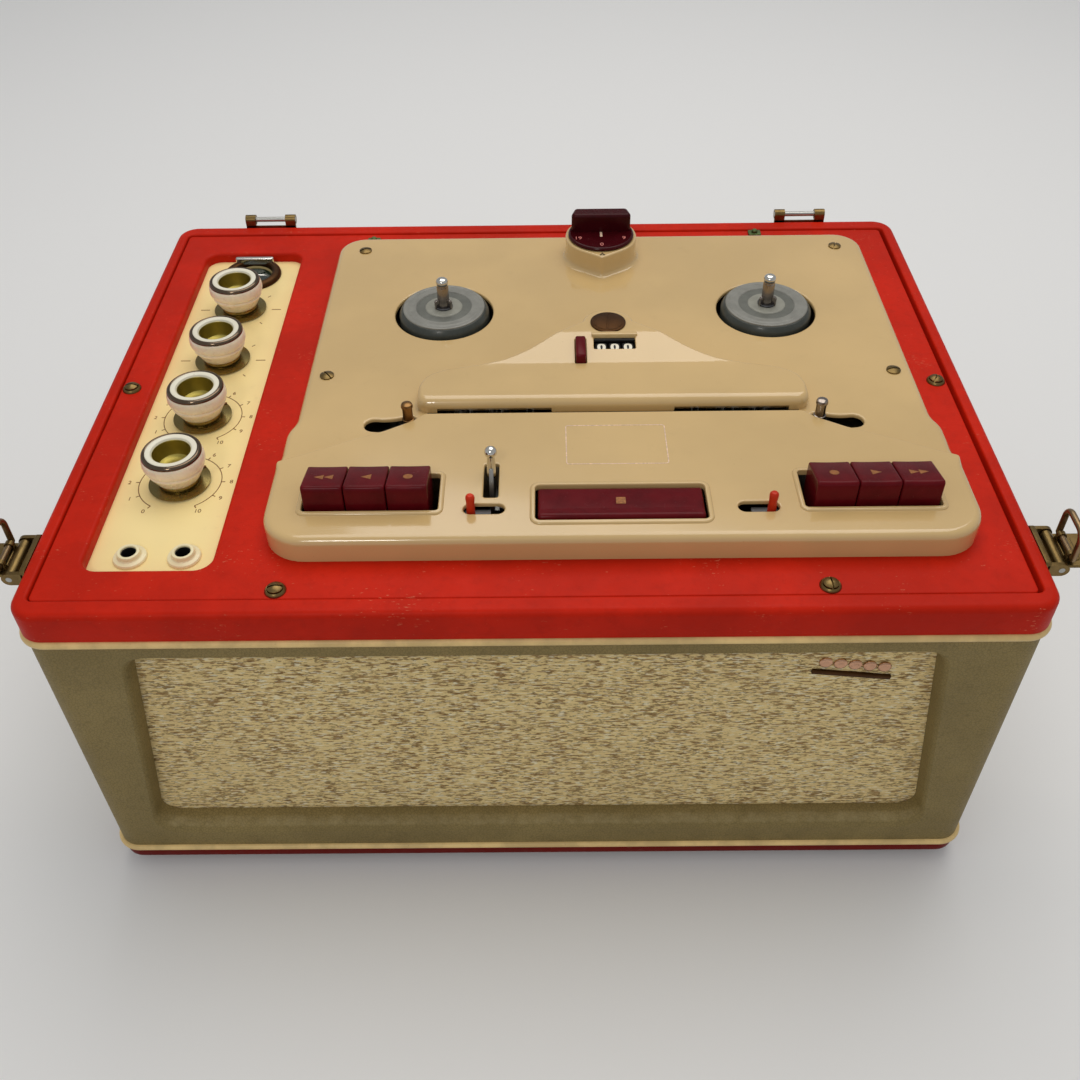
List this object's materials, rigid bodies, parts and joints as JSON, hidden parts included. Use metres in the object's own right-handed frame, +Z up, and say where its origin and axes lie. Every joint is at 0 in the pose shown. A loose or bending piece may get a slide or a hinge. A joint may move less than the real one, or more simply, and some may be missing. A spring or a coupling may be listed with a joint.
{
  "type": "reel-to-reel tape recorder",
  "caption": "Portable reel-to-reel tape recorder, lid off: red-rimmed cabinet, sunken knob panel, cream tape deck with spool turntables, keys and speed selector",
  "frame": {"origin": "middle of the bounding box in plan, on the plane that the rubber feet stand on", "axes": "+X to the right as the user faces the keys, +Y to the back, +Z up"},
  "size_m": [0.526, 0.349, 0.2364],
  "materials": {
    "leathercloth": "grey-green leathercloth with a fine grain, slightly worn",
    "red_rexine": "red covering, satin, scuffed along the edges",
    "piping": "cream-tan piping with a soft shine",
    "grille_cloth": "woven cream cloth with brown flecks",
    "baffle": "bare chipboard",
    "dark_steel": "black stove enamel",
    "cone_paper": "dark felted paper",
    "bare_steel": "plated steel, satin",
    "aged_brass": "aged, patinated brass",
    "copper_trim": "gilt, rubbed",
    "rubber": "black rubber",
    "cream_panel": "cream enamel, satin",
    "cream_deck": "beige stove enamel, glossy",
    "ivory_knob": "ivory plastic over gilt",
    "white_nut": "ivory plastic",
    "eye_glass": "dark glass in a brown ring",
    "burgundy": "burgundy plastic, polished",
    "orange_plastic": "orange-red plastic",
    "grey_disc": "grey enamel with turned rings",
    "chrome": "bright chrome",
    "counter_white": "off-white plastic with plain dark figures",
    "glass_valve": "clear glass",
    "winding": "laminated iron, dark",
    "bronze_screw": "brown plated screw"
  },
  "bodies": {
    "cabinet": {"case_shell": "leathercloth", "base_board": "red_rexine", "rim_frame": "red_rexine", "deck_board": "red_rexine", "piping": "piping", "grille_cloth": "grille_cloth", "baffle_board": "baffle", "speaker_frame": "dark_steel", "speaker_cone": "cone_paper", "fixing_screws": "aged_brass", "rubber_feet": "rubber", "rear_hinges": "aged_brass", "latch_plates": "aged_brass", "grille_badge": "copper_trim", "mains_gland": "rubber", "control_panel": "cream_panel", "potentiometers": "bare_steel", "jack_sockets": "white_nut", "tuning_eye": "eye_glass", "amp_chassis": "bare_steel", "valves": "glass_valve", "mains_transformer": "winding", "deck_plate": "cream_deck", "front_cover": "cream_deck", "head_cover": "cream_deck", "cover_screw": "bronze_screw", "speed_housing": "cream_deck", "counter_carry": "counter_white", "tape_heads": "bare_steel", "motors": "dark_steel", "deck_chassis": "bare_steel"},
    "latch_lever_left": {"latch_lever_left": "aged_brass"},
    "latch_lever_right": {"latch_lever_right": "aged_brass"},
    "latch_bail_left": {"latch_bail_left": "aged_brass"},
    "latch_bail_right": {"latch_bail_right": "aged_brass"},
    "knob_1": {"knob_1": "ivory_knob"},
    "knob_2": {"knob_2": "ivory_knob"},
    "knob_3": {"knob_3": "ivory_knob"},
    "knob_4": {"knob_4": "ivory_knob"},
    "speed_selector": {"speed_selector": "burgundy"},
    "spool_left": {"spool_left": "grey_disc"},
    "spool_right": {"spool_right": "grey_disc"},
    "key_left_1": {"key_left_1": "burgundy"},
    "key_left_2": {"key_left_2": "burgundy"},
    "key_left_3": {"key_left_3": "burgundy"},
    "key_right_1": {"key_right_1": "burgundy"},
    "key_right_2": {"key_right_2": "burgundy"},
    "key_right_3": {"key_right_3": "burgundy"},
    "stop_bar": {"stop_bar": "burgundy"},
    "pause_lever": {"pause_lever": "chrome"},
    "trick_lever_left": {"trick_lever_left": "orange_plastic"},
    "trick_lever_right": {"trick_lever_right": "orange_plastic"},
    "reset_button": {"reset_button": "burgundy"},
    "counter_units": {"counter_units": "counter_white"},
    "guide_arm_left": {"guide_arm_left": "bare_steel"},
    "guide_arm_right": {"guide_arm_right": "bare_steel"},
    "capstan_left": {"capstan_left": "bare_steel"},
    "capstan_right": {"capstan_right": "bare_steel"},
    "pinch_arm_left": {"pinch_arm_left": "rubber"},
    "pinch_arm_right": {"pinch_arm_right": "rubber"}
  },
  "joints": [
    {"name": "knob_1_turn", "type": "hinge", "parent": "cabinet", "child": "knob_1", "pos_m": [-0.175, -0.0781, 0.2022], "axis": [0, 0, -1], "range_deg": [0, 300]},
    {"name": "knob_2_turn", "type": "hinge", "parent": "cabinet", "child": "knob_2", "pos_m": [-0.175, -0.0256, 0.2022], "axis": [0, 0, -1], "range_deg": [0, 300]},
    {"name": "knob_3_turn", "type": "hinge", "parent": "cabinet", "child": "knob_3", "pos_m": [-0.175, 0.0269, 0.2022], "axis": [0, 0, -1], "range_deg": [-60, 60]},
    {"name": "knob_4_turn", "type": "hinge", "parent": "cabinet", "child": "knob_4", "pos_m": [-0.175, 0.0794, 0.2022], "axis": [0, 0, -1], "range_deg": [-60, 60]},
    {"name": "speed_turn", "type": "hinge", "parent": "cabinet", "child": "speed_selector", "pos_m": [0.04, 0.1135, 0.2212], "axis": [0, 0, -1], "range_deg": [-45, 45]},
    {"name": "spool_left_turn", "type": "hinge", "parent": "cabinet", "child": "spool_left", "pos_m": [-0.051, 0.0505, 0.2132], "axis": [0, 0, 1], "continuous": true},
    {"name": "spool_right_turn", "type": "hinge", "parent": "cabinet", "child": "spool_right", "pos_m": [0.131, 0.0505, 0.2132], "axis": [0, 0, 1], "continuous": true},
    {"name": "key_left_1_press", "type": "hinge", "parent": "cabinet", "child": "key_left_1", "pos_m": [-0.0956, -0.0665, 0.2012], "axis": [1, 0, 0], "range_deg": [0, 5], "stiffness_Nm_per_rad": 1.5, "springref_deg": -1.72},
    {"name": "key_left_2_press", "type": "hinge", "parent": "cabinet", "child": "key_left_2", "pos_m": [-0.0764, -0.0665, 0.2012], "axis": [1, 0, 0], "range_deg": [0, 5], "stiffness_Nm_per_rad": 1.5, "springref_deg": -1.72},
    {"name": "key_left_3_press", "type": "hinge", "parent": "cabinet", "child": "key_left_3", "pos_m": [-0.0572, -0.0665, 0.2012], "axis": [1, 0, 0], "range_deg": [0, 5], "stiffness_Nm_per_rad": 1.5, "springref_deg": -1.72},
    {"name": "key_right_1_press", "type": "hinge", "parent": "cabinet", "child": "key_right_1", "pos_m": [0.1372, -0.0665, 0.2012], "axis": [1, 0, 0], "range_deg": [0, 5], "stiffness_Nm_per_rad": 1.5, "springref_deg": -1.72},
    {"name": "key_right_2_press", "type": "hinge", "parent": "cabinet", "child": "key_right_2", "pos_m": [0.1564, -0.0665, 0.2012], "axis": [1, 0, 0], "range_deg": [0, 5], "stiffness_Nm_per_rad": 1.5, "springref_deg": -1.72},
    {"name": "key_right_3_press", "type": "hinge", "parent": "cabinet", "child": "key_right_3", "pos_m": [0.1756, -0.0665, 0.2012], "axis": [1, 0, 0], "range_deg": [0, 5], "stiffness_Nm_per_rad": 1.5, "springref_deg": -1.72},
    {"name": "stop_bar_press", "type": "hinge", "parent": "cabinet", "child": "stop_bar", "pos_m": [0.04, -0.0665, 0.2012], "axis": [1, 0, 0], "range_deg": [0, 4], "stiffness_Nm_per_rad": 2.5, "springref_deg": -1.72},
    {"name": "pause_swing", "type": "hinge", "parent": "cabinet", "child": "pause_lever", "pos_m": [-0.0198, -0.1005, 0.1972], "axis": [1, 0, 0], "range_deg": [0, 30]},
    {"name": "trick_left_slide", "type": "slide", "parent": "cabinet", "child": "trick_lever_left", "axis": [1, 0, 0], "range_m": [0, 0.012]},
    {"name": "trick_right_slide", "type": "slide", "parent": "cabinet", "child": "trick_lever_right", "axis": [-1, 0, 0], "range_m": [0, 0.012]},
    {"name": "reset_press", "type": "slide", "parent": "cabinet", "child": "reset_button", "axis": [0, 0, -1], "range_m": [0, 0.0025], "stiffness_N_per_m": 300, "springref_m": -0.002},
    {"name": "counter_turn", "type": "hinge", "parent": "cabinet", "child": "counter_units", "pos_m": [0.0498, 0.0015, 0.2117], "axis": [1, 0, 0], "continuous": true},
    {"name": "guide_left_swing", "type": "hinge", "parent": "cabinet", "child": "guide_arm_left", "pos_m": [-0.075, -0.0215, 0.2032], "axis": [0, 0, -1], "range_deg": [0, 30]},
    {"name": "guide_right_swing", "type": "hinge", "parent": "cabinet", "child": "guide_arm_right", "pos_m": [0.155, -0.0215, 0.2032], "axis": [0, 0, 1], "range_deg": [0, 30]},
    {"name": "capstan_left_turn", "type": "hinge", "parent": "cabinet", "child": "capstan_left", "pos_m": [-0.002, -0.0395, 0.2012], "axis": [0, 0, 1], "continuous": true},
    {"name": "capstan_right_turn", "type": "hinge", "parent": "cabinet", "child": "capstan_right", "pos_m": [0.082, -0.0395, 0.2012], "axis": [0, 0, 1], "continuous": true},
    {"name": "pinch_left_swing", "type": "hinge", "parent": "cabinet", "child": "pinch_arm_left", "pos_m": [-0.028, -0.0563, 0.1952], "axis": [0, 0, 1], "range_deg": [0, 12]},
    {"name": "pinch_right_swing", "type": "hinge", "parent": "cabinet", "child": "pinch_arm_right", "pos_m": [0.108, -0.0563, 0.1952], "axis": [0, 0, -1], "range_deg": [0, 12]},
    {"name": "latch_left_lever", "type": "hinge", "parent": "cabinet", "child": "latch_lever_left", "pos_m": [-0.237, -0.1325, 0.1962], "axis": [0, -1, 0], "range_deg": [0, 75]},
    {"name": "latch_left_bail", "type": "hinge", "parent": "latch_lever_left", "child": "latch_bail_left", "pos_m": [-0.242, -0.1325, 0.1996], "axis": [0, -1, 0], "range_deg": [-35, 90]},
    {"name": "latch_right_lever", "type": "hinge", "parent": "cabinet", "child": "latch_lever_right", "pos_m": [0.237, -0.1325, 0.1962], "axis": [0, 1, 0], "range_deg": [0, 75]},
    {"name": "latch_right_bail", "type": "hinge", "parent": "latch_lever_right", "child": "latch_bail_right", "pos_m": [0.242, -0.1325, 0.1996], "axis": [0, 1, 0], "range_deg": [-35, 90]}
  ],
  "couplings": [
    {"joint": "counter_turn", "follows": "spool_left_turn", "ratio": 0.1},
    {"joint": "capstan_right_turn", "follows": "capstan_left_turn", "ratio": 1}
  ]
}
